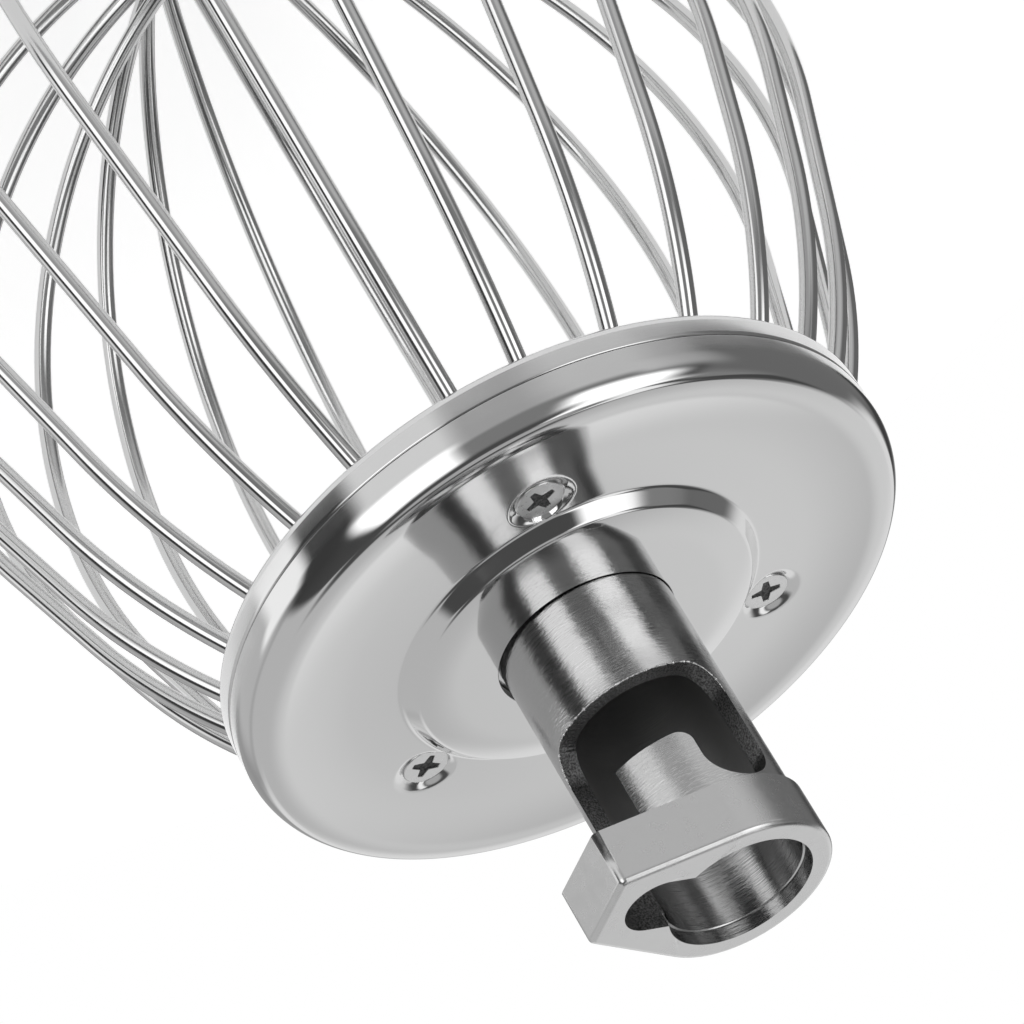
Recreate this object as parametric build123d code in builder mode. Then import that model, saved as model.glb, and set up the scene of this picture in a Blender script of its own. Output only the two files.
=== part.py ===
from build123d import *
import math
import os

os.makedirs("parts", exist_ok=True)

# Balloon whisk for a planetary mixer, in millimetres.
# Z runs up the socket to its mouth; Z = 0 is the top of the cover's boss.

# Socket tube
tube_r = 15.0
bore_r = 11.9
bore_floor_t = 4.5
mouth_z = 53.2

# Collar at the mouth, with a lug that gives the keyway its wall and a lead-in for the shaft
collar_len = 10.0
collar_r = 16.0
lug_reach = 24.8
lug_width = 14.5
lug_corner_r = 1.4
collar_edge_r = 1.0
lead_gap = 0.4
lead_depth = 2.6
collar_z = mouth_z - collar_len

# Bayonet slot for the drive pin: in by the keyway, round, then down a notch
pin_slot_w = 11.4
keyway_angle = -39.5
keyway_wall = 3.9
run_z = 24.9
notch_z = 36.6
notch_angle = -135.0
tongue_z = 31.5
tongue_corner_r = 2.4
keyway_end_r = lug_reach - keyway_wall
turn_deg = keyway_angle - notch_angle
turn_z = run_z - pin_slot_w / 2

# Cover, a pressed cap
sheet_t = 1.5
boss_r = 30.0
boss_h = 2.6
boss_slope = 2.2
boss_top_edge_r = 1.4
boss_foot_r = 1.6
cover_r = 57.6
rim_r = 3.0
skirt_h = 6.8
tube_gap = 0.35
face_z = -boss_h
skirt_z = face_z - skirt_h

# Plate that the wires pass through
seat_gap = 0.05
plate_t = 4.6
plate_edge_r = 1.0
spigot_h = 1.2
spigot_w = 2.5
spigot_gap = 0.1
plate_top_z = skirt_z - seat_gap
plate_back_z = plate_top_z - plate_t

# Wire loops: bent by hand, so each strays a little from an even share of the circle
wire_d = 3.0
loop_count = 12
first_loop_angle = -88.8
loop_strays = (-2, 2, 1.5, 3, 2, 1, -1, -2.5, -3, -1.5, -1, 0.5)
exit_inset = 5.3
exit_slope = 35.5
shoulder_r = 111.0
flank_slope = 17.6
tip_z = -197.0
tip_pitch = 3.1
deepest_loop = 2
hook_bend_r = 3.0
hook_len = 3.5
hook_lift = 0.85
hole_gap = 0.03
wire_r = wire_d / 2

# Clamp flange, fixed on the foot of the socket between cover and plate
hook_end_gap = 1.47
lip_w = 7.0
hub_gap = 0.8
clamp_gap = 0.05
foot_gap = 0.02

# Screws
screw_inset = 5.2
screw_count = 3
screw_angle = 22.8
screw_d = 3.9
screw_head_d = 8.0
screw_sink = 0.5
screw_reach = 3.6
screw_gap = 0.05
dimple_d = 11.4
recess_w = 0.95
recess_l = 4.4
recess_depth = 1.6

# Heights and points that follow from the sizes
bore_z = plate_top_z + bore_floor_t
bend_z = plate_top_z + hook_lift
slope_rad = math.radians(exit_slope)
flank_rad = math.radians(flank_slope)
exit_r = cover_r - exit_inset
bend_r = exit_r - (bend_z - plate_back_z) * math.tan(slope_rad)
hook_r = bend_r - hook_bend_r * math.cos(slope_rad)
hook_z = bend_z + hook_bend_r * (1 - math.sin(slope_rad))
lip_z = hook_z + wire_r + clamp_gap
flange_r = hook_r - hook_len - hook_end_gap
lip_r = flange_r + lip_w
hub_r = boss_r - boss_slope - hub_gap
screw_pitch_r = flange_r - screw_inset
flange_top_z = face_z - sheet_t - clamp_gap
hub_top_z = -sheet_t - clamp_gap
shoulder_z = plate_back_z - wire_d
shoulder_start_r = exit_r + (plate_back_z - shoulder_z) * math.tan(slope_rad)
flank_start_r = shoulder_start_r + shoulder_r * (math.cos(flank_rad) - math.cos(slope_rad))
flank_start_z = shoulder_z - shoulder_r * (math.sin(slope_rad) - math.sin(flank_rad))
loop_angles = [
    first_loop_angle + number * 180 / loop_count + loop_strays[number % len(loop_strays)]
    for number in range(loop_count)
]


def direction(angle):
    return (math.cos(math.radians(angle)), math.sin(math.radians(angle)), 0)


def upright(angle):
    """Plane through the axis facing out along the angle, its X up the socket."""
    return Plane(origin=(0, 0, 0), x_dir=(0, 0, 1), z_dir=direction(angle))


def level(z, angle=0.0):
    return Plane(origin=(0, 0, z), x_dir=direction(angle), z_dir=(0, 0, 1))


def meridian(angle):
    """Plane through the axis, its X out along the angle and its Y up the socket."""
    return Plane(origin=(0, 0, 0), x_dir=direction(angle), z_dir=direction(angle - 90))


# Shank: socket tube with a closed foot, collar on top, slot milled
with BuildPart() as shank:
    with BuildSketch(level(plate_top_z)):
        Circle(tube_r)
    extrude(amount=collar_z - plate_top_z)
    # Collar: the round end and the lug's end wrapped by two tangent sides
    with BuildSketch(level(collar_z, keyway_angle)):
        Circle(collar_r)
        with Locations((lug_reach - lug_corner_r, 0)):
            Rectangle(2 * lug_corner_r, lug_width)
        make_hull()
    extrude(amount=collar_len)
    lug_edges = shank.edges().filter_by(Axis.Z).filter_by(
        lambda e: math.hypot(e.center().X, e.center().Y) > lug_reach - lug_corner_r
    )
    fillet(lug_edges, radius=lug_corner_r)
    fillet(shank.faces().sort_by(Axis.Z)[-1].edges(), radius=collar_edge_r)
    # Blind bore for the drive shaft
    with BuildSketch(level(bore_z)):
        Circle(bore_r)
    extrude(amount=mouth_z - bore_z, mode=Mode.SUBTRACT)
    # Lead-in: a shallow counterbore at the mouth
    with BuildSketch(level(mouth_z)):
        Circle(bore_r + lead_gap)
    extrude(amount=-lead_depth, mode=Mode.SUBTRACT)
    # Keyway: the way in for the drive pin, through the collar and the tube wall
    keyway_centre = keyway_end_r - pin_slot_w / 2
    with BuildSketch(level(run_z, keyway_angle)):
        with Locations((keyway_centre / 2, 0)):
            Rectangle(keyway_centre, pin_slot_w)
        with Locations((keyway_centre, 0)):
            Circle(pin_slot_w / 2)
    extrude(amount=mouth_z - run_z, mode=Mode.SUBTRACT)
    with BuildSketch(upright(keyway_angle)):
        with Locations((run_z, 0)):
            Circle(pin_slot_w / 2)
    extrude(amount=collar_r, mode=Mode.SUBTRACT)
    # Turn: the pin's way round the tube, under the tongue
    with BuildSketch(meridian(notch_angle)):
        with Locations(((bore_r + tube_r) / 2, (turn_z + tongue_z) / 2)):
            Rectangle(tube_r, tongue_z - turn_z)
    revolve(axis=Axis.Z, revolution_arc=turn_deg, mode=Mode.SUBTRACT)
    # Notch: where the pin seats
    with BuildSketch(upright(notch_angle)):
        with Locations(((run_z + notch_z) / 2, 0)):
            SlotCenterToCenter(notch_z - run_z, pin_slot_w)
    extrude(amount=collar_r, mode=Mode.SUBTRACT)
    # Tongue: its corner on the notch's side is rounded
    tongue_edges = shank.edges().filter_by(GeomType.LINE).filter_by(
        lambda e: abs(e.center().Z - tongue_z) < tube_gap
    )
    fillet(tongue_edges.sort_by(Axis.X)[0], radius=tongue_corner_r)
shank.part.label = "shank"
export_step(shank.part, "parts/shank.step")

# Clamp flange: turned ring round the socket's foot, its lip over the wires' hooks
with BuildPart() as clamp_flange:
    with BuildSketch(Plane.XZ):
        with BuildLine():
            Polyline(
                (tube_r + foot_gap, plate_top_z),
                (flange_r, plate_top_z),
                (flange_r, lip_z),
                (lip_r, lip_z),
                (lip_r, flange_top_z),
                (hub_r, flange_top_z),
                (hub_r, hub_top_z),
                (tube_r + foot_gap, hub_top_z),
                close=True,
            )
        make_face()
    revolve(axis=Axis.Z)
    # Screw holes, opened to clear the heads
    with PolarLocations(screw_pitch_r, screw_count, start_angle=screw_angle):
        with Locations((0, 0, (plate_top_z + flange_top_z) / 2)):
            Cylinder(screw_d / 2 + screw_gap, flange_top_z - plate_top_z, mode=Mode.SUBTRACT)
        with Locations((0, 0, face_z - screw_sink - screw_head_d / 4)):
            Cone(screw_gap, screw_head_d / 2 + screw_gap, screw_head_d / 2, mode=Mode.SUBTRACT)
clamp_flange.part.label = "clamp_flange"
export_step(clamp_flange.part, "parts/clamp_flange.step")

# Cover: a pressed cap, shelled from its outside shape
with BuildPart() as cover:
    with BuildSketch(Plane.XZ):
        with BuildLine():
            Polyline(
                (0, 0),
                (boss_r - boss_slope, 0),
                (boss_r, face_z),
                (cover_r, face_z),
                (cover_r, skirt_z),
                (0, skirt_z),
                close=True,
            )
        make_face()
    revolve(axis=Axis.Z)
    rings = cover.edges().filter_by(GeomType.CIRCLE)
    outer_rings = rings.filter_by(lambda e: e.radius > cover_r - seat_gap)
    fillet(outer_rings.sort_by(Axis.Z)[-1], radius=rim_r)
    rings = cover.edges().filter_by(GeomType.CIRCLE)
    fillet(rings.sort_by(Axis.Z)[-1], radius=boss_top_edge_r)
    rings = cover.edges().filter_by(GeomType.CIRCLE)
    fillet(rings.filter_by(lambda e: abs(e.radius - boss_r) < seat_gap), radius=boss_foot_r)
    offset(amount=-sheet_t, openings=cover.faces().sort_by(Axis.Z)[0], kind=Kind.INTERSECTION)
    with BuildSketch(level(-boss_h)):
        Circle(tube_r + tube_gap)
    extrude(amount=2 * boss_h, both=True, mode=Mode.SUBTRACT)
    # Countersinks, each in a shallow dimple
    with PolarLocations(screw_pitch_r, screw_count, start_angle=screw_angle):
        with Locations((0, 0, face_z - screw_sink / 2)):
            Cone(screw_head_d / 2 + screw_gap, dimple_d / 2, screw_sink, mode=Mode.SUBTRACT)
        with Locations((0, 0, face_z - screw_sink - screw_head_d / 4)):
            Cone(screw_gap, screw_head_d / 2 + screw_gap, screw_head_d / 2, mode=Mode.SUBTRACT)
cover.part.label = "cover"
export_step(cover.part, "parts/cover.step")

# Wire plate: turned disc with slanted wire holes and a spigot for the cover
with BuildPart() as wire_plate:
    with BuildSketch(level(plate_back_z)):
        Circle(cover_r)
    extrude(amount=plate_t)
    fillet(wire_plate.edges().filter_by(GeomType.CIRCLE).sort_by(Axis.Z)[0], radius=plate_edge_r)
    spigot_r = cover_r - sheet_t - spigot_gap
    with BuildSketch(level(plate_top_z)):
        Circle(spigot_r)
        Circle(spigot_r - spigot_w, mode=Mode.SUBTRACT)
    extrude(amount=spigot_h)
    for loop_angle in loop_angles:
        with PolarLocations(0, 2, start_angle=loop_angle):
            with Locations(Location((exit_r, 0, plate_back_z), (0, -exit_slope, 0))):
                Cylinder(wire_r + hole_gap, 3 * plate_t, mode=Mode.SUBTRACT)
    with PolarLocations(screw_pitch_r, screw_count, start_angle=screw_angle):
        with Locations((0, 0, plate_top_z - screw_reach / 2)):
            Cylinder(screw_d / 2 + screw_gap, screw_reach + 0.4, mode=Mode.SUBTRACT)
wire_plate.part.label = "wire_plate"
export_step(wire_plate.part, "parts/wire_plate.step")

# Wire loops: hook, slanted run, shoulder, flank and round tip, the same on both sides
for number, loop_angle in enumerate(loop_angles):
    # Tips stack on the axis from the deepest loop, in an order that rises and falls round the balloon
    steps_round = (number - deepest_loop) % loop_count
    stack_place = min(2 * steps_round, 2 * loop_count - 1 - 2 * steps_round)
    loop_tip_z = tip_z + stack_place * tip_pitch
    # The tip's arc is centred on the axis and meets both flanks
    flank_offset = flank_start_r * math.cos(flank_rad) + flank_start_z * math.sin(flank_rad)
    tip_centre_z = (loop_tip_z + flank_offset) / (1 + math.sin(flank_rad))
    tip_arc_r = tip_centre_z - loop_tip_z
    flank_end_r = tip_arc_r * math.cos(flank_rad)
    flank_end_z = tip_centre_z + tip_arc_r * math.sin(flank_rad)
    with BuildPart() as wire_loop:
        with BuildLine(meridian(loop_angle)) as path:
            for side in (1, -1):
                Line((side * (hook_r - hook_len), hook_z), (side * hook_r, hook_z))
                TangentArc((side * hook_r, hook_z), (side * bend_r, bend_z), tangent=(side, 0))
                Line((side * bend_r, bend_z), (side * shoulder_start_r, shoulder_z))
                TangentArc(
                    (side * shoulder_start_r, shoulder_z),
                    (side * flank_start_r, flank_start_z),
                    tangent=(side * math.sin(slope_rad), -math.cos(slope_rad)),
                )
                Line((side * flank_start_r, flank_start_z), (side * flank_end_r, flank_end_z))
            ThreePointArc((flank_end_r, flank_end_z), (0, loop_tip_z), (-flank_end_r, flank_end_z))
        start = path.wires()[0] @ 0
        heading = path.wires()[0] % 0
        with BuildSketch(Plane(origin=start, z_dir=heading)):
            Circle(wire_r)
        sweep(path=path.wires()[0])
    name = f"wire_{number + 1:02d}"
    wire_loop.part.label = name
    export_step(wire_loop.part, f"parts/{name}.step")

# Cover screws: countersunk, cross recess
head_z = face_z - screw_sink
head_h = (screw_head_d - screw_d) / 2
with BuildPart() as screw:
    with BuildSketch(Plane.XZ):
        with BuildLine():
            Polyline(
                (0, head_z),
                (screw_head_d / 2, head_z),
                (screw_d / 2, head_z - head_h),
                (screw_d / 2, plate_top_z - screw_reach + head_h / 2),
                (screw_d / 2 - head_h / 4, plate_top_z - screw_reach),
                (0, plate_top_z - screw_reach),
                close=True,
            )
        make_face()
    revolve(axis=Axis.Z)
    with BuildSketch(level(head_z)):
        Rectangle(recess_l, recess_w)
        Rectangle(recess_w, recess_l)
    extrude(amount=-recess_depth, taper=14, mode=Mode.SUBTRACT)
with BuildPart() as cover_screws:
    with PolarLocations(screw_pitch_r, screw_count, start_angle=screw_angle):
        add(screw.part)
cover_screws.part.label = "cover_screws"
export_step(cover_screws.part, "parts/cover_screws.step")
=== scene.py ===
import math

import bmesh
import bpy
import numpy as np
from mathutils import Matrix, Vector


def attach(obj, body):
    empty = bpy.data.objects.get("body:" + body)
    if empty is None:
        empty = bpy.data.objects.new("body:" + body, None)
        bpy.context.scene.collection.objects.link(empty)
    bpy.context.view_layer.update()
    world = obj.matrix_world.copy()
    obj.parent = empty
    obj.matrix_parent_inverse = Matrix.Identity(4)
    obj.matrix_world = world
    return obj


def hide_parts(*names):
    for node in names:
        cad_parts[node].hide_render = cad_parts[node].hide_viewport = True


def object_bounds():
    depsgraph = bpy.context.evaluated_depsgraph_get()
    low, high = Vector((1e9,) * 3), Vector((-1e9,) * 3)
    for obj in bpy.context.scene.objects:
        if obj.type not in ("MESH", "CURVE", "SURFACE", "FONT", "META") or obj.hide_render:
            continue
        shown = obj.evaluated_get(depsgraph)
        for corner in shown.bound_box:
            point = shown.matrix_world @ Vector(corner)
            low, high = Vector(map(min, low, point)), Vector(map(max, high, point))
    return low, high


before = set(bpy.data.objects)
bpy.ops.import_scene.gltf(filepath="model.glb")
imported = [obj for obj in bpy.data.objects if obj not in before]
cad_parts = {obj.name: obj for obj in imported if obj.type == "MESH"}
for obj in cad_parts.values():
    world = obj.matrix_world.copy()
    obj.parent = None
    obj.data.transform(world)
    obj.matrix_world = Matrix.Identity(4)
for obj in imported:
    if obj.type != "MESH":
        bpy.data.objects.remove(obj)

cad_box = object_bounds()

# Wire plate: a turned stainless disc at the back of the hub, with slanted holes for the wires.
# Its edge was polished together with the cover's skirt, and shows behind it as a second bright band.
MM = 0.001
hub_r = 57.6
plate_front_z = -9.45
plate_back_z = -14.05
plate_edge_r = 1.0
seam_edge_r = 0.25
plate_pole_r = 0.5
back_spacing = 1.5
edge_spacing = 0.5
hidden_spacing = 6.0
turn_steps = 320
even_turn = np.linspace(0, 2 * math.pi, turn_steps, endpoint=False)


def run(start, end, spacing):
    """Points of a straight run from start towards end, about one spacing apart, without the end point."""
    count = max(1, int(math.ceil(math.dist(start, end) / spacing)))
    share = np.arange(count)[:, None] / count
    return np.array(start) * (1 - share) + np.array(end) * share


def rounded_outline(corners, radii, spacings, arc_steps=9):
    """Closed outline: straight runs between the corners, each corner with a radius turned into an arc that
    touches both of its runs. Spacing number i is that of the run from corner i to the next."""
    points = [np.array(c, float) for c in corners]
    count = len(points)
    entries, exits, bends = [], [], []
    for i, radius in enumerate(radii):
        back = points[i - 1] - points[i]
        ahead = points[(i + 1) % count] - points[i]
        back /= np.linalg.norm(back)
        ahead /= np.linalg.norm(ahead)
        half = math.acos(np.clip(back @ ahead, -1, 1)) / 2
        reach = radius / math.tan(half)
        bisector = (back + ahead) / np.linalg.norm(back + ahead)
        centre = points[i] + bisector * radius / math.sin(half)
        entries.append(points[i] + back * reach)
        exits.append(points[i] + ahead * reach)
        # The arc turns by the angle that the two runs leave out of a half circle
        turn = math.pi - 2 * half
        share = np.linspace(-turn / 2, turn / 2, arc_steps)[:, None]
        side = (ahead - back) / np.linalg.norm(ahead - back)
        bend = centre - bisector * radius * np.cos(share) + side * radius * np.sin(share)
        bends.append(bend[:-1] if radius > 0 else bend[:0])
    pieces = []
    for i in range(count):
        pieces.append(bends[i])
        pieces.append(run(exits[i], entries[(i + 1) % count], spacings[i]))
    return np.concatenate(pieces)


def revolve(outline, angle):
    """Surface of revolution: point (r, z) of the outline goes to (r cos a, r sin a, z) for each angle a."""
    r, z = outline[:, :1], outline[:, 1:]
    return np.stack([r * np.cos(angle), r * np.sin(angle), z + 0 * angle], axis=-1)


def grid_quads(grid):
    """The four corners of each cell of a grid, in order round the cell."""
    return np.stack([grid[:-1, :-1], grid[:-1, 1:], grid[1:, 1:], grid[1:, :-1]], axis=2)


def mesh_piece(name, points, material, around=True, along=True, caps=False, uv=None):
    """Object from a grid of points in millimetres. around and along join the last column and row to the
    first, and caps close an open end with a fan to the middle of its row. uv is a grid that is one larger
    each way."""
    rows, columns = points.shape[:2]
    index = np.arange(rows * columns).reshape(rows, columns)
    vertices = points.reshape(-1, 3)
    if around:
        index = np.concatenate([index, index[:, :1]], axis=1)
    if along:
        index = np.concatenate([index, index[:1]], axis=0)
    faces = grid_quads(index).reshape(-1, 4).tolist()
    if caps:
        ends = points[[0, -1]].mean(axis=1)
        first, last = rows * columns, rows * columns + 1
        vertices = np.concatenate([vertices, ends])
        start, end = index[0], index[-1]
        faces += np.stack([start[1:], start[:-1], np.full(len(start) - 1, first)], axis=-1).tolist()
        faces += np.stack([end[:-1], end[1:], np.full(len(end) - 1, last)], axis=-1).tolist()
    mesh = bpy.data.meshes.new(name)
    mesh.from_pydata((vertices * MM).tolist(), [], faces)
    mesh.shade_smooth()
    if uv is not None:
        corner = grid_quads(uv).reshape(-1, 2)
        layer = mesh.uv_layers.new(name="along_and_around")
        flat = np.zeros((len(mesh.loops), 2), np.float32)
        flat[: len(corner)] = corner
        layer.data.foreach_set("uv", flat.ravel())
    mesh.materials.append(material)
    piece = bpy.data.objects.new(name, mesh)
    bpy.context.scene.collection.objects.link(piece)
    return piece


def linear(code):
    """Linear colour of an sRGB hex code."""
    srgb = np.array([int(code[i : i + 2], 16) for i in (1, 3, 5)]) / 255
    low = srgb / 12.92
    high = ((srgb + 0.055) / 1.055) ** 2.4
    return (*np.where(srgb <= 0.04045, low, high).tolist(), 1.0)


def add(tree, kind, links=None, **settings):
    """Adds a node: links gives each input socket a value or an output socket, settings its properties."""
    node = tree.nodes.new(kind)
    for key, value in settings.items():
        setattr(node, key, value)
    for socket, value in (links or {}).items():
        if isinstance(value, bpy.types.NodeSocket):
            tree.links.new(value, node.inputs[socket])
        else:
            node.inputs[socket].default_value = value
    return node


def blank_finish(name):
    """New material, with its node tree and its shader."""
    material = bpy.data.materials.new(name)
    material.use_nodes = True
    tree = material.node_tree
    return material, tree, tree.nodes["Principled BSDF"]


def polished_stainless():
    """Stainless steel, mirror polished on a buff: clear reflections, a little haze and very soft waves."""
    material, tree, shader = blank_finish("mirror_polished_stainless")
    shader.inputs["Base Color"].default_value = linear("#cfcfcf")
    shader.inputs["Metallic"].default_value = 1.0
    place = add(tree, "ShaderNodeTexCoord").outputs["Object"]
    haze_size = 14 * MM
    haze = add(tree, "ShaderNodeTexNoise", {"Vector": place, "Scale": 1 / haze_size, "Detail": 4.0})
    rough = add(
        tree,
        "ShaderNodeMapRange",
        {"Value": haze.outputs["Fac"], "From Min": 0.3, "From Max": 0.7, "To Min": 0.05, "To Max": 0.1},
    )
    tree.links.new(rough.outputs["Result"], shader.inputs["Roughness"])
    wave_size, wave_depth = 22 * MM, 0.1 * MM
    wave = add(tree, "ShaderNodeTexNoise", {"Vector": place, "Scale": 1 / wave_size, "Detail": 1.0})
    bump = add(
        tree, "ShaderNodeBump", {"Height": wave.outputs["Fac"], "Strength": 0.35, "Distance": wave_depth}
    )
    tree.links.new(bump.outputs["Normal"], shader.inputs["Normal"])
    return material


mirror_finish = polished_stainless()
plate_outline = rounded_outline(
    [
        (plate_pole_r, plate_back_z),
        (hub_r, plate_back_z),
        (hub_r, plate_front_z),
        (plate_pole_r, plate_front_z),
    ],
    [0, plate_edge_r, seam_edge_r, 0],
    [back_spacing, edge_spacing, hidden_spacing, hidden_spacing],
)
wire_plate = mesh_piece(
    "wire_plate_turned", revolve(plate_outline, even_turn), mirror_finish, along=False, caps=True
)
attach(wire_plate, "root")
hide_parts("wire_plate")

# Wire loops: twelve lengths of bright drawn stainless spring wire, each bent to one planar loop.
# Both ends pass through the plate's slanted holes and hook over its front, under the clamp flange.
wire_r = 1.5
loop_count = 12
first_loop_angle = -88.8
loop_strays = (-2, 2, 1.5, 3, 2, 1, -1, -2.5, -3, -1.5, -1, 0.5)
exit_r = 52.3
exit_slope = math.radians(35.5)
shoulder_r = 111.0
flank_slope = math.radians(17.6)
deepest_tip_z = -197.0
tip_pitch = 3.1
deepest_loop = 2
hook_bend_r = 3.0
hook_len = 3.5
hook_lift = 0.85
loop_spacing = 1.0
bend_spacing = 0.3
wire_sides = 24


def arc(centre, radius, start, end, spacing):
    """Points of a circle's arc about centre, from angle start to angle end, without the end point."""
    count = max(2, int(abs(end - start) * radius / spacing))
    angle = start + (end - start) * np.arange(count) / count
    return np.stack([centre[0] + radius * np.cos(angle), centre[1] + radius * np.sin(angle)], axis=1)


def loop_line(tip_z):
    """Half of a loop in its own plane as (distance from the axis, height), from the hook's end to the tip:
    level hook, small bend, slanted run, shoulder arc, straight flank, tip arc about a point on the axis."""
    bend_z = plate_front_z + hook_lift
    bend_r = exit_r - (bend_z - plate_back_z) * math.tan(exit_slope)
    hook_centre = (bend_r - hook_bend_r * math.cos(exit_slope), bend_z - hook_bend_r * math.sin(exit_slope))
    hook_z = hook_centre[1] + hook_bend_r
    shoulder_z = plate_back_z - 2 * wire_r
    shoulder_start = exit_r + 2 * wire_r * math.tan(exit_slope)
    shoulder_centre = (
        shoulder_start - shoulder_r * math.cos(exit_slope),
        shoulder_z - shoulder_r * math.sin(exit_slope),
    )
    flank_r = shoulder_centre[0] + shoulder_r * math.cos(flank_slope)
    flank_z = shoulder_centre[1] + shoulder_r * math.sin(flank_slope)
    flank_offset = flank_r * math.cos(flank_slope) + flank_z * math.sin(flank_slope)
    tip_centre = (0, (tip_z + flank_offset) / (1 + math.sin(flank_slope)))
    tip_r = tip_centre[1] - tip_z
    tip_start = (tip_r * math.cos(flank_slope), tip_centre[1] + tip_r * math.sin(flank_slope))
    return np.concatenate([
        run((hook_centre[0] - hook_len, hook_z), (hook_centre[0], hook_z), loop_spacing),
        arc(hook_centre, hook_bend_r, math.pi / 2, exit_slope, bend_spacing),
        run((bend_r, bend_z), (shoulder_start, shoulder_z), loop_spacing),
        arc(shoulder_centre, shoulder_r, exit_slope, flank_slope, loop_spacing),
        run((flank_r, flank_z), tip_start, loop_spacing),
        arc(tip_centre, tip_r, flank_slope, -math.pi / 2, loop_spacing),
    ])


def wire_surface(half, tip_z, angle):
    """Round wire along a planar loop: each point of the line gets a circle across it, whose two axes are
    the line's normal within the plane and the plane's own normal. Also gives lengths along and around."""
    mirrored = half[::-1] * np.array([-1, 1])
    line = np.concatenate([half, [(0, tip_z)], mirrored])
    along = np.gradient(line, axis=0)
    along /= np.linalg.norm(along, axis=1)[:, None]
    normal = np.stack([-along[:, 1], along[:, 0]], axis=1)
    turn = np.linspace(0, 2 * math.pi, wire_sides, endpoint=False)
    out = line[:, None, :] + wire_r * np.cos(turn)[None, :, None] * normal[:, None, :]
    side = -wire_r * np.sin(turn)[None, :] + 0 * out[..., 0]
    x = out[..., 0] * math.cos(angle) - side * math.sin(angle)
    y = out[..., 0] * math.sin(angle) + side * math.cos(angle)
    length = np.concatenate([[0], np.cumsum(np.linalg.norm(np.diff(line, axis=0), axis=1))])
    around = np.linspace(0, 2 * math.pi * wire_r, wire_sides + 1)
    uv = np.stack(np.broadcast_arrays(length[:, None], around[None, :]), axis=-1)
    return np.stack([x, y, out[..., 1]], axis=-1), uv


def drawn_stainless():
    """Stainless spring wire, drawn bright through dies: lines along the wire, some duller than others."""
    material, tree, shader = blank_finish("bright_drawn_stainless_wire")
    shader.inputs["Base Color"].default_value = linear("#c6c6c6")
    shader.inputs["Metallic"].default_value = 1.0
    place = add(tree, "ShaderNodeUVMap", uv_map="along_and_around").outputs["UV"]
    # Real drawing lines are finer, and these are coarse enough to show. The UV map is in millimetres
    line_length, line_width = 30.0, 0.35
    stretched = add(
        tree, "ShaderNodeMapping", {"Vector": place, "Scale": (1 / line_length, 1 / line_width, 1.0)}
    ).outputs["Vector"]
    lines = add(tree, "ShaderNodeTexNoise", {"Vector": stretched, "Scale": 1.0, "Detail": 3.0})
    rough = add(
        tree,
        "ShaderNodeMapRange",
        {"Value": lines.outputs["Fac"], "From Min": 0.3, "From Max": 0.7, "To Min": 0.08, "To Max": 0.16},
    )
    tree.links.new(rough.outputs["Result"], shader.inputs["Roughness"])
    line_depth = 0.05 * MM
    bump = add(
        tree, "ShaderNodeBump", {"Height": lines.outputs["Fac"], "Strength": 0.1, "Distance": line_depth}
    )
    tree.links.new(bump.outputs["Normal"], shader.inputs["Normal"])
    return material


drawn_finish = drawn_stainless()
for number in range(loop_count):
    loop_angle = first_loop_angle + number * 180 / loop_count + loop_strays[number]
    # From the deepest loop the tips climb to both sides by turns, one wire on the other
    steps_round = (number - deepest_loop) % loop_count
    stack_place = min(2 * steps_round, 2 * loop_count - 1 - 2 * steps_round)
    tip_z = deepest_tip_z + stack_place * tip_pitch
    loop_points, loop_uv = wire_surface(loop_line(tip_z), tip_z, math.radians(loop_angle))
    wire_loop = mesh_piece(
        f"wire_loop_{number + 1:02d}", loop_points, drawn_finish, along=False, caps=True, uv=loop_uv
    )
    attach(wire_loop, "root")
    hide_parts(f"wire_{number + 1:02d}")

# Shank: the socket tube with its bayonet slot, and the collar with the keyway's lug at its mouth.
# Turned from stainless bar, ground and buffed outside, bored and milled through.
# The mesh is a merged copy of the modelled solid, with a finish for each way that its faces were made.
tube_r = 15.0
lead_r = 12.3
collar_r = 16.0
collar_z = 43.2
keyway_angle = math.radians(-39.5)
keyway_centre_r = 15.2
merge_gap = 0.002
face_slack = 0.1
least_flat = 1.0
least_length = 1e-6
sharp_corner = math.radians(28)
bore_facing = 0.97
wall_facing = 0.99
level_share = 0.5
upright_share = 0.02


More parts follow.
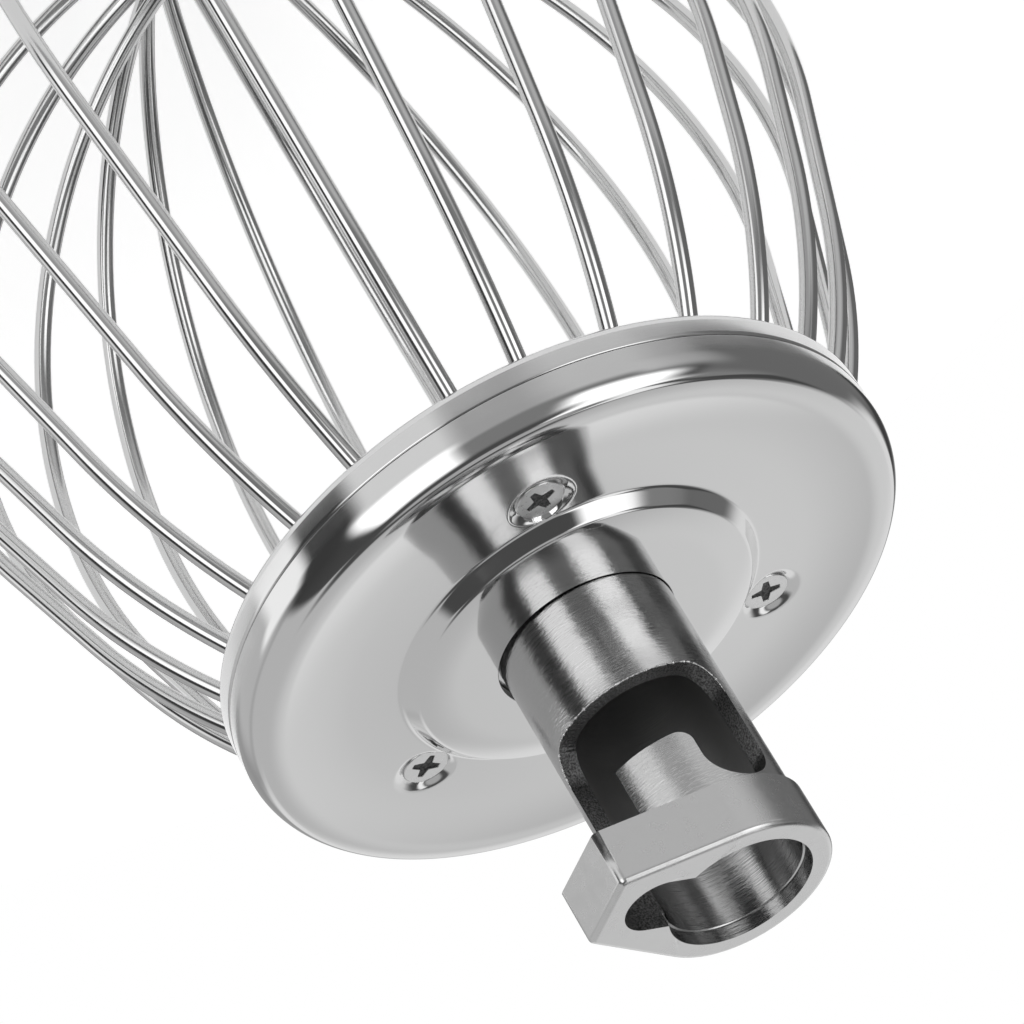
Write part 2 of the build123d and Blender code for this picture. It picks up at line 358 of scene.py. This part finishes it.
def ground_stainless():
    """Turned stainless, ground round: bright satin, with short marks round the tube that fray its bands."""
    material, tree, shader = blank_finish("round_ground_stainless")
    shader.inputs["Base Color"].default_value = linear("#c4c4c4")
    shader.inputs["Metallic"].default_value = 1.0
    place = add(tree, "ShaderNodeTexCoord").outputs["Object"]
    # Real grinding marks are finer, and these are coarse enough to show
    mark_length, mark_height, mark_depth = 1.6 * MM, 0.3 * MM, 0.06 * MM
    stretched = add(
        tree,
        "ShaderNodeMapping",
        {"Vector": place, "Scale": (1 / mark_length, 1 / mark_length, 1 / mark_height)},
    ).outputs["Vector"]
    marks = add(tree, "ShaderNodeTexNoise", {"Vector": stretched, "Scale": 1.0, "Detail": 4.0})
    rough = add(
        tree,
        "ShaderNodeMapRange",
        {"Value": marks.outputs["Fac"], "From Min": 0.3, "From Max": 0.7, "To Min": 0.1, "To Max": 0.2},
    )
    tree.links.new(rough.outputs["Result"], shader.inputs["Roughness"])
    wave_size, wave_depth = 5 * MM, 0.15 * MM
    wave = add(tree, "ShaderNodeTexNoise", {"Vector": place, "Scale": 1 / wave_size, "Detail": 2.0})
    waves = add(
        tree, "ShaderNodeBump", {"Height": wave.outputs["Fac"], "Strength": 0.5, "Distance": wave_depth}
    )
    bump = add(
        tree,
        "ShaderNodeBump",
        {
            "Height": marks.outputs["Fac"],
            "Strength": 0.9,
            "Distance": mark_depth,
            "Normal": waves.outputs["Normal"],
        },
    )
    tree.links.new(bump.outputs["Normal"], shader.inputs["Normal"])
    return material


def buffed_stainless():
    """Stainless buffed by hand: smooth and bright, with a soft haze and faint waves."""
    material, tree, shader = blank_finish("hand_buffed_stainless")
    shader.inputs["Base Color"].default_value = linear("#cacaca")
    shader.inputs["Metallic"].default_value = 1.0
    place = add(tree, "ShaderNodeTexCoord").outputs["Object"]
    haze_size, haze_depth = 2.5 * MM, 0.05 * MM
    haze = add(tree, "ShaderNodeTexNoise", {"Vector": place, "Scale": 1 / haze_size, "Detail": 6.0})
    rough = add(
        tree,
        "ShaderNodeMapRange",
        {"Value": haze.outputs["Fac"], "From Min": 0.3, "From Max": 0.7, "To Min": 0.2, "To Max": 0.3},
    )
    tree.links.new(rough.outputs["Result"], shader.inputs["Roughness"])
    bump = add(
        tree, "ShaderNodeBump", {"Height": haze.outputs["Fac"], "Strength": 0.1, "Distance": haze_depth}
    )
    tree.links.new(bump.outputs["Normal"], shader.inputs["Normal"])
    return material


def bored_stainless():
    """Inside of the bore as the boring bar left it: fine rings round the axis, bright at the mouth where
    shafts have rubbed it and dull further down."""
    material, tree, shader = blank_finish("fine_bored_stainless")
    shader.inputs["Base Color"].default_value = linear("#b2b2b2")
    shader.inputs["Metallic"].default_value = 1.0
    place = add(tree, "ShaderNodeTexCoord").outputs["Object"]
    # Real boring rings are finer, and these are coarse enough to show
    ring_length, ring_height, ring_depth = 5.0 * MM, 0.22 * MM, 0.06 * MM
    stretched = add(
        tree,
        "ShaderNodeMapping",
        {"Vector": place, "Scale": (1 / ring_length, 1 / ring_length, 1 / ring_height)},
    ).outputs["Vector"]
    rings = add(tree, "ShaderNodeTexNoise", {"Vector": stretched, "Scale": 1.0, "Detail": 3.0})
    height = add(tree, "ShaderNodeSeparateXYZ", {0: place}).outputs["Z"]
    dull_z, rubbed_z = 34 * MM, 44 * MM
    rough = add(
        tree,
        "ShaderNodeMapRange",
        {"Value": height, "From Min": dull_z, "From Max": rubbed_z, "To Min": 0.46, "To Max": 0.1},
    )
    tree.links.new(rough.outputs["Result"], shader.inputs["Roughness"])
    bump = add(
        tree, "ShaderNodeBump", {"Height": rings.outputs["Fac"], "Strength": 0.8, "Distance": ring_depth}
    )
    tree.links.new(bump.outputs["Normal"], shader.inputs["Normal"])
    return material


def milled_stainless():
    """Steel as the cutter left it, on the walls of the slot and the keyway: dark, grainy and dull."""
    material, tree, shader = blank_finish("rough_milled_stainless")
    shader.inputs["Metallic"].default_value = 1.0
    shader.inputs["Roughness"].default_value = 0.42
    place = add(tree, "ShaderNodeTexCoord").outputs["Object"]
    # Real cutter marks are finer, and this grain is coarse enough to show
    grain_size, grain_depth = 0.3 * MM, 0.08 * MM
    grain = add(tree, "ShaderNodeTexNoise", {"Vector": place, "Scale": 1 / grain_size, "Detail": 4.0})
    shade = add(tree, "ShaderNodeValToRGB", {"Fac": grain.outputs["Fac"]})
    shade.color_ramp.elements[0].position = 0.35
    shade.color_ramp.elements[0].color = linear("#464646")
    shade.color_ramp.elements[1].position = 0.7
    shade.color_ramp.elements[1].color = linear("#9a9a9a")
    tree.links.new(shade.outputs["Color"], shader.inputs["Base Color"])
    bump = add(
        tree, "ShaderNodeBump", {"Height": grain.outputs["Fac"], "Strength": 0.55, "Distance": grain_depth}
    )
    tree.links.new(bump.outputs["Normal"], shader.inputs["Normal"])
    return material


ground_finish = ground_stainless()
buffed_finish = buffed_stainless()
bored_finish = bored_stainless()
milled_finish = milled_stainless()
shank_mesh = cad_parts["shank"].data.copy()
shank_mesh.name = "shank_ground"
merge = bmesh.new()
merge.from_mesh(shank_mesh)
bmesh.ops.remove_doubles(merge, verts=merge.verts, dist=merge_gap * MM)
bmesh.ops.triangulate(merge, faces=merge.faces)
merge.to_mesh(shank_mesh)
merge.free()
shank_mesh.materials.clear()
for finish in (ground_finish, buffed_finish, bored_finish, milled_finish):
    shank_mesh.materials.append(finish)
face_count = len(shank_mesh.polygons)
centres = np.zeros((face_count, 3), np.float32)
normals = np.zeros((face_count, 3), np.float32)
shank_mesh.polygons.foreach_get("center", centres.ravel())
shank_mesh.polygons.foreach_get("normal", normals.ravel())
centres /= MM
reach = np.linalg.norm(centres[:, :2], axis=1)
outward = (centres[:, :2] * normals[:, :2]).sum(axis=1) / np.maximum(reach, face_slack)
keyway_way = np.array([math.cos(keyway_angle), math.sin(keyway_angle)])
keyway_middle = np.clip(centres[:, :2] @ keyway_way, 0, keyway_centre_r)[:, None] * keyway_way
faces_keyway = ((keyway_middle - centres[:, :2]) * normals[:, :2]).sum(axis=1) > 0
bored = (outward < -bore_facing) & (reach < lead_r + face_slack)
on_collar = centres[:, 2] > collar_z - face_slack
level_face = np.abs(normals[:, 2]) > level_share
milled = ~bored & np.where(on_collar, faces_keyway & ~level_face, reach < tube_r - face_slack)
# Each face's place in the list of finishes above
face_finish = np.select([bored, milled, on_collar], [2, 3, 1], 0)
shank_mesh.polygons.foreach_set("material_index", face_finish.astype(np.int32))

# The long facets of its round walls get true round normals, its flats their own, and roundings stay soft
shank_mesh.set_sharp_from_angle(angle=sharp_corner)
corner_vertex = np.zeros(len(shank_mesh.loops), np.int32)
shank_mesh.loops.foreach_get("vertex_index", corner_vertex)
vertices = np.zeros((len(shank_mesh.vertices), 3), np.float32)
shank_mesh.vertices.foreach_get("co", vertices.ravel())
radial = vertices[corner_vertex] * np.array([1, 1, 0])
radial /= np.maximum(np.linalg.norm(radial, axis=1), least_length)[:, None]
round_wall = np.abs(normals[:, 2]) < upright_share
outer_wall = round_wall & (outward > wall_facing) & (reach < collar_r + face_slack) & ~milled
areas = np.zeros(face_count, np.float32)
shank_mesh.polygons.foreach_get("area", areas)
flat = (areas > least_flat * MM**2) & ~outer_wall & ~(bored & round_wall) & ~milled
side = np.where(bored & round_wall, -1.0, np.where(outer_wall, 1.0, 0.0))
corner_normals = radial * np.repeat(side, 3)[:, None] + np.repeat(normals * flat[:, None], 3, axis=0)
shank_mesh.normals_split_custom_set(corner_normals.tolist())
shank = bpy.data.objects.new("shank_ground", shank_mesh)
bpy.context.scene.collection.objects.link(shank)
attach(shank, "root")
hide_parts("shank")

# Slot burr: the bright ragged lip that the cutter threw up along the slot's lower edge and nobody filed.
# It is the shank's own steel, and the buff has brightened it.
slot_end_angle = math.radians(-135)
slot_run_z = 24.9
slot_half_w = 5.7
burr_spacing = 0.08
burr_least_r = 0.02
burr_spread_r = 1.8
burr_sides = 8
burr_seed = 3
swell_points = 40
notch_points = 4


def burr_points():
    """Thin ragged bead on the slot's edge: the edge is laid out flat as a run with a quarter circle at each
    end and wrapped on the tube, and each of its points gets a small circle across it, of uneven radius."""
    first = keyway_angle * tube_r
    last = slot_end_angle * tube_r
    edge_z = slot_run_z - slot_half_w
    line = np.concatenate([
        arc((first, slot_run_z), slot_half_w, 0, -math.pi / 2, burr_spacing),
        run((first, edge_z), (last, edge_z), burr_spacing),
        arc((last, slot_run_z), slot_half_w, -math.pi / 2, -math.pi, burr_spacing),
    ])
    along = np.gradient(line, axis=0)
    along /= np.linalg.norm(along, axis=1)[:, None]
    chance = np.random.default_rng(burr_seed).random((2, len(line)))
    swells = np.convolve(chance[0], np.ones(swell_points) / swell_points, "same")
    notches = np.convolve(chance[1], np.ones(notch_points) / notch_points, "same")
    radius = (burr_least_r + burr_spread_r * (swells * notches) ** 2)[:, None]
    turn = np.linspace(0, 2 * math.pi, burr_sides, endpoint=False)
    out = tube_r + radius * np.cos(turn)
    shift = -radius * np.sin(turn)
    angle = (line[:, :1] - shift * along[:, 1:]) / tube_r
    return np.stack([out * np.cos(angle), out * np.sin(angle), line[:, 1:] + shift * along[:, :1]], axis=-1)


slot_burr = mesh_piece("slot_burr", burr_points(), buffed_finish, along=False, caps=True)
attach(slot_burr, "root")

# Clamp flange: a turned ring on the socket's foot that holds the wires' hooks down on the plate.
# It is hidden under the cover and keeps its turned finish.
clamp_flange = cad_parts["clamp_flange"]
clamp_flange.data.materials.clear()
clamp_flange.data.materials.append(ground_finish)

# Cover: a cap pressed from stainless sheet with a raised boss round the socket, then mirror polished.
# Its face is dished a little towards a soft rim, three dimpled countersinks take the screws, and its skirt
# sits on the wire plate.
sheet_t = 1.5
cover_hole_r = 15.45
hole_edge = 0.12
hole_shift = 0.35
hole_shift_end_r = 20.0
under_z = -4.1
skirt_z = -9.4
rim_start_z = -6.29
rim_r, rim_turn = 5.5, math.radians(43)
rim_edge_r, rim_edge_turn = 1.9, math.radians(35)
bead_r, bead_turn = 10.3, math.radians(21.5)
dish_r, dish_turn = 69.0, math.radians(-9.5)
inner_dish_r, inner_dish_turn = 190.0, math.radians(-2.4)
boss_foot_r, boss_foot_turn = 1.2, math.radians(-43.6)
boss_edge_r, boss_edge_turn = 1.2, math.radians(35)
crown_r, crown_turn = 32.0, math.radians(11)
boss_top_z = 0.3
boss_inside_r = 27.3
foot_inside_r = 28.2
edge_guard = 0.03
plain_spacing = 1.0
crown_spacing = 0.5
dish_spacing = 0.4
soft_spacing = 0.25
wall_spacing = 0.2
foot_spacing = 0.15
tight_spacing = 0.12
screw_pitch_r = 35.8
screw_count = 3
screw_angle = math.radians(22.8)
screw_span = math.radians(11)
span_steps = 89
turn_places = 4
dimple_r = 5.9
dimple_depth = 0.75
dimple_swell = 1.4
dimple_inward_r = 4.2
seat_r = 4.12
seat_w = 0.5
seat_depth = 1.1


def arc_chain(start, heading, bends):
    """Outline that sets off from start along heading and takes each bend in turn: a radius, the angle that
    it turns, positive to the left, and a spacing. Returns the points without the end, the end and the
    heading there."""
    place = np.array(start, float)
    pieces = []
    for radius, turn, spacing in bends:
        toward = heading + math.copysign(math.pi / 2, turn)
        centre = place + radius * np.array([math.cos(toward), math.sin(toward)])
        begin = toward + math.pi
        pieces.append(arc(centre, radius, begin, begin + turn, spacing))
        place = centre + radius * np.array([math.cos(begin + turn), math.sin(begin + turn)])
        heading += turn
    return np.concatenate(pieces), place, heading


def smooth_step(value):
    """Rises from 0 to 1 as the value does, level at both ends: three of its squares less two of its cubes."""
    value = np.clip(value, 0, 1)
    return value * value * (3 - 2 * value)


face_outline, foot_end, wall_heading = arc_chain(
    (hub_r, rim_start_z),
    math.pi / 2,
    [
        (rim_r, rim_turn, soft_spacing),
        (rim_edge_r, rim_edge_turn, tight_spacing),
        (bead_r, bead_turn, soft_spacing),
        (dish_r, dish_turn, dish_spacing),
        (inner_dish_r, inner_dish_turn, soft_spacing),
        (boss_foot_r, boss_foot_turn, foot_spacing),
    ],
)
# The wall's top lies below the boss's level middle by what the crown and the edge fall from there
crown_fall = crown_r * (1 - math.cos(crown_turn))
edge_fall = boss_edge_r * (math.cos(crown_turn) + math.cos(wall_heading))
edge_start_z = boss_top_z - crown_fall - edge_fall
edge_start = (foot_end[0] + (edge_start_z - foot_end[1]) / math.tan(wall_heading), edge_start_z)
edge_outline, crown_end, _ = arc_chain(
    edge_start,
    wall_heading,
    [(boss_edge_r, boss_edge_turn, tight_spacing), (crown_r, crown_turn, crown_spacing)],
)
# From the hole's edge round the inside to the skirt's edge
underside = [
    (cover_hole_r + hole_edge + edge_guard, boss_top_z),
    (cover_hole_r + hole_edge, boss_top_z),
    (cover_hole_r, boss_top_z - hole_edge),
    (cover_hole_r, boss_top_z - hole_edge - edge_guard),
    (cover_hole_r, -sheet_t),
    (boss_inside_r, -sheet_t),
    (foot_inside_r, under_z),
    (hub_r - 2 * sheet_t, under_z),
    (hub_r - sheet_t, under_z - sheet_t),
    (hub_r - sheet_t, skirt_z),
    (hub_r - seam_edge_r - edge_guard, skirt_z),
    (hub_r - seam_edge_r, skirt_z),
    (hub_r, skirt_z + seam_edge_r),
    (hub_r, skirt_z + seam_edge_r + edge_guard),
]
skirt_outline = run(underside[-1], (hub_r, rim_start_z), plain_spacing)
wall_outline = run(foot_end, edge_start, wall_spacing)
cover_outline = np.concatenate([
    skirt_outline,
    face_outline,
    wall_outline,
    edge_outline,
    run(crown_end, underside[0], plain_spacing),
    underside[:-1],
])
# The columns stand closer together round each screw
screw_turns = screw_angle + np.arange(screw_count) * 2 * math.pi / screw_count
close_turns = screw_turns[:, None] + np.linspace(-screw_span, screw_span, span_steps)
all_turns = np.concatenate([even_turn, close_turns.ravel()]) % (2 * math.pi)
cover_turns = np.unique(np.round(all_turns, turn_places))
cover_points = revolve(cover_outline, cover_turns)
row = np.arange(len(cover_outline)) - len(skirt_outline)
on_face = (row >= 0) & (row < len(face_outline) + len(wall_outline))
for turn in screw_turns:
    out = cover_points[..., 0] * math.cos(turn) + cover_points[..., 1] * math.sin(turn) - screw_pitch_r
    across = cover_points[..., 1] * math.cos(turn) - cover_points[..., 0] * math.sin(turn)
    # On the boss's side the dimple is squeezed, so that it ends at the boss's foot
    squeezed = np.where(out < 0, out * dimple_r / dimple_inward_r, out)
    nearness = np.clip((dimple_r - np.hypot(squeezed, across)) / (dimple_r - seat_r), 0, 1)
    dimple = dimple_depth * nearness**dimple_swell
    countersink = seat_depth * smooth_step((seat_r - np.hypot(out, across)) / seat_w)
    cover_points[..., 2] -= on_face[:, None] * np.maximum(dimple, countersink)
# The hole sits a little to one side of the tube
from_hole = (hole_shift_end_r - cover_outline[:, :1]) / (hole_shift_end_r - cover_hole_r)
cover_points[..., 0] += hole_shift * smooth_step(from_hole)
cover = mesh_piece("cover_pressed", cover_points, mirror_finish)
# The hole's edge stays as the punch left it
cover.data.materials.append(milled_finish)
punched = cover_outline[:, 0] < cover_hole_r + hole_edge / 2
cover.data.polygons.foreach_set("material_index", np.repeat(punched, len(cover_turns)).astype(np.int32))
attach(cover, "root")
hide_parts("cover")

# Cover screws: three small countersunk machine screws with cross recesses, bright stainless.
# They hold cover, clamp flange and wire plate together, and their heads sit in the cover's dimples.
face_z = -2.83
screw_sink = 0.55
head_z = face_z - screw_sink
screw_head_r = 4.0
head_edge_r = 0.15
head_rings = 56
head_land = 0.25
head_draft = 0.05
head_slack = 0.01
screw_pole_r = 0.05
screw_d = 3.9
screw_reach = 3.6
screw_chamfer = 0.5
recess_w = 2.0
recess_l = 5.2
recess_depth = 0.5
recess_wall = 0.15
recess_rise = 1.2
recess_turn = math.radians(-68)
recess_shade = 0.06
lower_rings = 6


def screw_points(turn):
    """One screw: rings from its end up the shaft and the cone, over the head's edge and in to its middle.
    The head's top sinks in a cross, deepest in the middle, whose arms get shallow towards their ends."""
    ring_r = np.linspace(screw_pole_r, screw_head_r - head_edge_r, head_rings)
    shaft_r = screw_d / 2
    cone_h = screw_head_r - shaft_r
    end_z = plate_front_z - screw_reach
    lower = np.array([
        (screw_head_r, head_z - head_edge_r),
        (screw_head_r - head_draft, head_z - head_land),
        (shaft_r, head_z - cone_h),
        (shaft_r, end_z + screw_chamfer),
        (shaft_r - screw_chamfer, end_z),
        (screw_pole_r, end_z),
    ])
    outline = np.concatenate([np.stack([ring_r, 0 * ring_r + head_z], axis=1), lower])[::-1]
    points = revolve(outline, even_turn)
    x, y, z = points[..., 0], points[..., 1], points[..., 2]
    arms = 0 * z
    for reach, across in ((x, y), (y, x)):
        width = recess_w * (1 - np.abs(reach) / recess_l)
        wall = smooth_step((width / 2 - np.abs(across)) / recess_wall)
        end_wall = smooth_step((recess_l / 2 - np.abs(reach)) / recess_wall)
        depth = end_wall * (1 - recess_rise * np.abs(reach) / recess_l)
        arms = np.maximum(arms, wall * depth)
    sunk_z = np.where(z > head_z - head_slack, z - recess_depth * arms, z)
    spin = turn + recess_turn
    turned_x = x * math.cos(spin) - y * math.sin(spin)
    turned_y = x * math.sin(spin) + y * math.cos(spin)
    place = screw_pitch_r * np.array([math.cos(turn), math.sin(turn)])
    return np.stack([turned_x + place[0], turned_y + place[1], sunk_z], axis=-1)


def bright_screw():
    """Stainless screw, cold headed and barrelled bright: smooth, with faint duller specks."""
    material, tree, shader = blank_finish("bright_stainless_screw")
    shader.inputs["Base Color"].default_value = linear("#d2d2d2")
    shader.inputs["Metallic"].default_value = 1.0
    place = add(tree, "ShaderNodeTexCoord").outputs["Object"]
    speck_size = 0.6 * MM
    specks = add(tree, "ShaderNodeTexNoise", {"Vector": place, "Scale": 1 / speck_size, "Detail": 3.0})
    rough = add(
        tree,
        "ShaderNodeMapRange",
        {"Value": specks.outputs["Fac"], "From Min": 0.3, "From Max": 0.7, "To Min": 0.26, "To Max": 0.36},
    )
    tree.links.new(rough.outputs["Result"], shader.inputs["Roughness"])
    return material


def painted_shade_recess():
    """Painted shade for the cross recess: a near-black, matt and uneven colour that stands in for the shade
    inside the recess.
    """
    material, tree, shader = blank_finish("cross_recess_painted_shade")
    shader.inputs["Roughness"].default_value = 0.6
    place = add(tree, "ShaderNodeTexCoord").outputs["Object"]
    shade_mottle_size = 0.4 * MM
    shade_mottle = add(tree, "ShaderNodeTexNoise", {"Vector": place, "Scale": 1 / shade_mottle_size, "Detail": 3.0})
    # Dark mottled colour: painted shade of the recess
    shade = add(tree, "ShaderNodeValToRGB", {"Fac": shade_mottle.outputs["Fac"]})
    shade.color_ramp.elements[0].position = 0.35
    shade.color_ramp.elements[0].color = linear("#1e1e1e")
    shade.color_ramp.elements[1].position = 0.7
    shade.color_ramp.elements[1].color = linear("#5a5a5a")
    tree.links.new(shade.outputs["Color"], shader.inputs["Base Color"])
    return material


screw_finish = bright_screw()
recess_painted_shade = painted_shade_recess()
for number, turn in enumerate(screw_turns):
    screw = mesh_piece(f"cover_screw_{number + 1}", screw_points(turn), screw_finish, along=False, caps=True)
    # The head's top is the last rings of the mesh, and the faces sunk below it are the recess, which get a
    # near-black colour as painted shade
    screw.data.materials.append(recess_painted_shade)
    face_centres = np.zeros((len(screw.data.polygons), 3), np.float32)
    screw.data.polygons.foreach_get("center", face_centres.ravel())
    on_top = np.arange(len(face_centres)) >= turn_steps * lower_rings
    sunk = on_top & (face_centres[:, 2] < (head_z - recess_shade) * MM)
    screw.data.polygons.foreach_set("material_index", sunk.astype(np.int32))
    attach(screw, "root")
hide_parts("cover_screws")

# Studio: a pale floor under the whisk, a white surround for the eye, and grey and dark stretches of room
# with soft boxes that the polished steel mirrors. Sizes here are in metres, and angles in degrees.
floor_gap = 0.002
floor_z = cad_box[0].z - floor_gap
floor_r = 0.32
floor_pole_r = 0.005
paper_t = 0.001
paper_lift = 0.49


def pale_floor():
    """Matt white paper: where the eye or a mirror meets it, its lit colour is lifted to plain white, so that
    only the whisk's soft shadow stays darker."""
    material, tree, shader = blank_finish("matt_white_paper")
    shader.inputs["Base Color"].default_value = linear("#f2f2f2")
    shader.inputs["Roughness"].default_value = 0.9
    path = add(tree, "ShaderNodeLightPath").outputs
    seen = add(tree, "ShaderNodeMath", {0: path["Is Camera Ray"], 1: path["Is Glossy Ray"]}, operation="ADD")
    seen = add(tree, "ShaderNodeMath", {0: seen.outputs[0], 1: path["Is Transmission Ray"]}, operation="ADD")
    lift = add(tree, "ShaderNodeMath", {0: seen.outputs[0], 1: paper_lift}, operation="MULTIPLY")
    glow = add(tree, "ShaderNodeEmission", {"Color": linear("#ffffff"), "Strength": lift.outputs[0]})
    paper = add(tree, "ShaderNodeAddShader", {0: shader.outputs[0], 1: glow.outputs[0]})
    tree.links.new(paper.outputs[0], tree.nodes["Material Output"].inputs["Surface"])
    return material


floor_outline = np.array([
    (floor_pole_r, floor_z - paper_t),
    (floor_r, floor_z - paper_t),
    (floor_r, floor_z),
    (floor_pole_r, floor_z),
])
floor = mesh_piece("floor", revolve(floor_outline / MM, even_turn), pale_floor(), along=False, caps=True)
floor.data.shade_flat()

world = bpy.data.worlds.new("studio")
bpy.context.scene.world = world
world.use_nodes = True
tree = world.node_tree
way = add(tree, "ShaderNodeSeparateXYZ", {0: add(tree, "ShaderNodeTexCoord").outputs["Generated"]}).outputs
bearing = add(tree, "ShaderNodeMath", {0: way["Y"], 1: way["X"]}, operation="ARCTAN2").outputs[0]
rise = add(tree, "ShaderNodeMath", {0: way["Z"]}, operation="ARCSINE").outputs[0]


def room_panel(light, middle, half_width, low, high, level, edge=4, low_edge=8, high_edge=6):
    """Lays a soft-edged panel of light over the room, in degrees of bearing and height, and returns the new
    light. The panel's share falls smoothly from one to nothing across each edge."""
    off = add(tree, "ShaderNodeMath", {0: bearing, 1: math.radians(middle)}, operation="SUBTRACT")
    off = add(tree, "ShaderNodeMath", {0: off.outputs[0], 1: math.pi, 2: -math.pi}, operation="WRAP")
    off = add(tree, "ShaderNodeMath", {0: off.outputs[0]}, operation="ABSOLUTE")
    share = None
    for value, inner, outer in (
        (off.outputs[0], half_width - edge, half_width + edge),
        (rise, low + low_edge, low - low_edge),
        (rise, high - high_edge, high + high_edge),
    ):
        fall = add(
            tree,
            "ShaderNodeMapRange",
            {
                "Value": value,
                "From Min": math.radians(inner),
                "From Max": math.radians(outer),
                "To Min": 1.0,
                "To Max": 0.0,
            },
            interpolation_type="SMOOTHSTEP",
        ).outputs[0]
        if share is not None:
            fall = add(tree, "ShaderNodeMath", {0: share, 1: fall}, operation="MULTIPLY").outputs[0]
        share = fall
    return add(tree, "ShaderNodeMix", {"Factor": share, "A": light, "B": level}).outputs["Result"]


# Angles past the half turn and the poles, so that a panel that goes so far has no edge there
all_round = 200
above = 120
below = -120
backdrop_place = {"middle": 95, "half_width": 38, "low": -4, "high": 19, "edge": 10, "high_edge": 9}
room_panels = [
    # The lower room, which the skirt and the wires mirror
    {"middle": 45, "half_width": 62, "low": below, "high": 0, "level": 0.4, "edge": 8},
    {"middle": 15, "half_width": 26, "low": below, "high": 0, "level": 0.66, "edge": 10},
    {"middle": 160, "half_width": 34, "low": below, "high": 30, "level": 0.2},
    {"middle": -126, "half_width": 44, "low": below, "high": 5, "level": 0.5, "edge": 8, "high_edge": 12},
    {"middle": -136, "half_width": 19, "low": below, "high": 8, "level": 0.72, "edge": 10, "high_edge": 10},
    {"middle": -10, "half_width": 12.5, "low": below, "high": -10, "level": 1.3},
    {"middle": -67, "half_width": 19, "low": below, "high": 20, "level": 0.95, "edge": 5},
    # The upper room, which the cover mirrors, and the tube by way of the cover
    {"middle": 50, "half_width": 65, "low": 0, "high": 58, "level": 0.68},
    {"middle": 108, "half_width": 22, "low": 0, "high": 42, "level": 0.9, "edge": 12, "high_edge": 12},
    {**backdrop_place, "level": 1.12},
    {"middle": -108, "half_width": 36, "low": 0, "high": 45, "level": 0.28},
    {"middle": 178, "half_width": 13, "low": 26, "high": 50, "level": 0.3},
    {"middle": -66, "half_width": 18, "low": -16, "high": 46, "level": 1.9},
    {"middle": 172, "half_width": 58, "low": 60, "high": 70, "level": 1.3, "low_edge": 3, "high_edge": 3},
    {"middle": -149, "half_width": 20, "low": 38, "high": 70, "level": 1.7, "edge": 6},
    {"middle": -140, "half_width": 18, "low": 16, "high": 40, "level": 2.2, "edge": 7},
    # The pale ceiling, which the cover mirrors to an eye right above it
    {"middle": 0, "half_width": all_round, "low": 74, "high": above, "level": 0.55, "low_edge": 4},
]
# Between the panels the room is dark, a little less so from the horizon up to this rise in radians
top_rise = 1.2
low_dark = 0.06
top_dark = 0.1
room_light = add(
    tree, "ShaderNodeMapRange", {"Value": rise, "From Max": top_rise, "To Min": low_dark, "To Max": top_dark}
).outputs[0]
for panel in room_panels:
    room_light = room_panel(room_light, **panel)
seen_room = tree.nodes["Background"]
tree.links.new(room_light, seen_room.inputs["Strength"])
seen_room.inputs["Color"].default_value = linear("#ffffff")
plain_white = add(tree, "ShaderNodeBackground", {"Color": linear("#ffffff"), "Strength": 1.0})
# The eye meets the white surround everywhere, and mirrors meet it where its backdrop stands
backdrop = room_panel(0.0, **backdrop_place, level=1.0)
path = add(tree, "ShaderNodeLightPath").outputs
mirrored = add(
    tree, "ShaderNodeMath", {0: path["Is Glossy Ray"], 1: path["Is Transmission Ray"]}, operation="ADD"
)
mirrored = add(tree, "ShaderNodeMath", {0: mirrored.outputs[0], 1: backdrop}, operation="MULTIPLY")
seen = add(tree, "ShaderNodeMath", {0: path["Is Camera Ray"], 1: mirrored.outputs[0]}, operation="ADD")
mix = add(
    tree, "ShaderNodeMixShader", {0: seen.outputs[0], 1: seen_room.outputs[0], 2: plain_white.outputs[0]}
)
tree.links.new(mix.outputs[0], tree.nodes["World Output"].inputs["Surface"])

# Camera: stands in front of the hub and above it, with a long lens,
# and is rolled so that the socket points to the lower right.
camera_place = (0, -0.66743, 0.41256)
camera_turns = (-52.42693, -25.43542, 161.70204)
camera_data = bpy.data.cameras.new("camera")
camera_data.lens = 174.413
camera_data.sensor_width = 36.0
camera = bpy.data.objects.new("camera", camera_data)
bpy.context.scene.collection.objects.link(camera)
camera.location = camera_place
camera.rotation_euler = [math.radians(degrees) for degrees in camera_turns]
bpy.context.scene.camera = camera

bpy.context.scene.view_settings.view_transform = "Standard"
